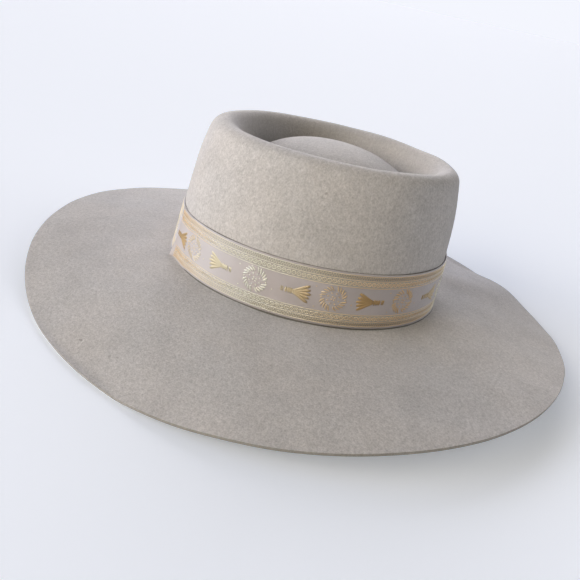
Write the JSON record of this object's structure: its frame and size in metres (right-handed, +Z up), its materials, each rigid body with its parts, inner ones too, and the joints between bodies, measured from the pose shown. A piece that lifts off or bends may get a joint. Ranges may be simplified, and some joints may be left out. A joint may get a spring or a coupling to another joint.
{
  "type": "wide-brim felt hat",
  "caption": "Wide-brim blocked felt hat with an oval telescope crown, a waved raw-edge brim and a patterned woven ribbon around the crown's foot.",
  "frame": {"origin": "on the surface the hat rests on, under the middle of its box", "axes": "+Z up, the front of the hat is -Y, the wearer's left is +X; Y is along the head"},
  "size_m": [0.3704, 0.3918, 0.119],
  "materials": {
    "felt": "matt grey-beige wool felt",
    "ribbon": "pale mauve satin with gold thread figures"
  },
  "bodies": {
    "root": {"felt_body": "felt", "ribbon_band": "ribbon"}
  },
  "joints": []
}
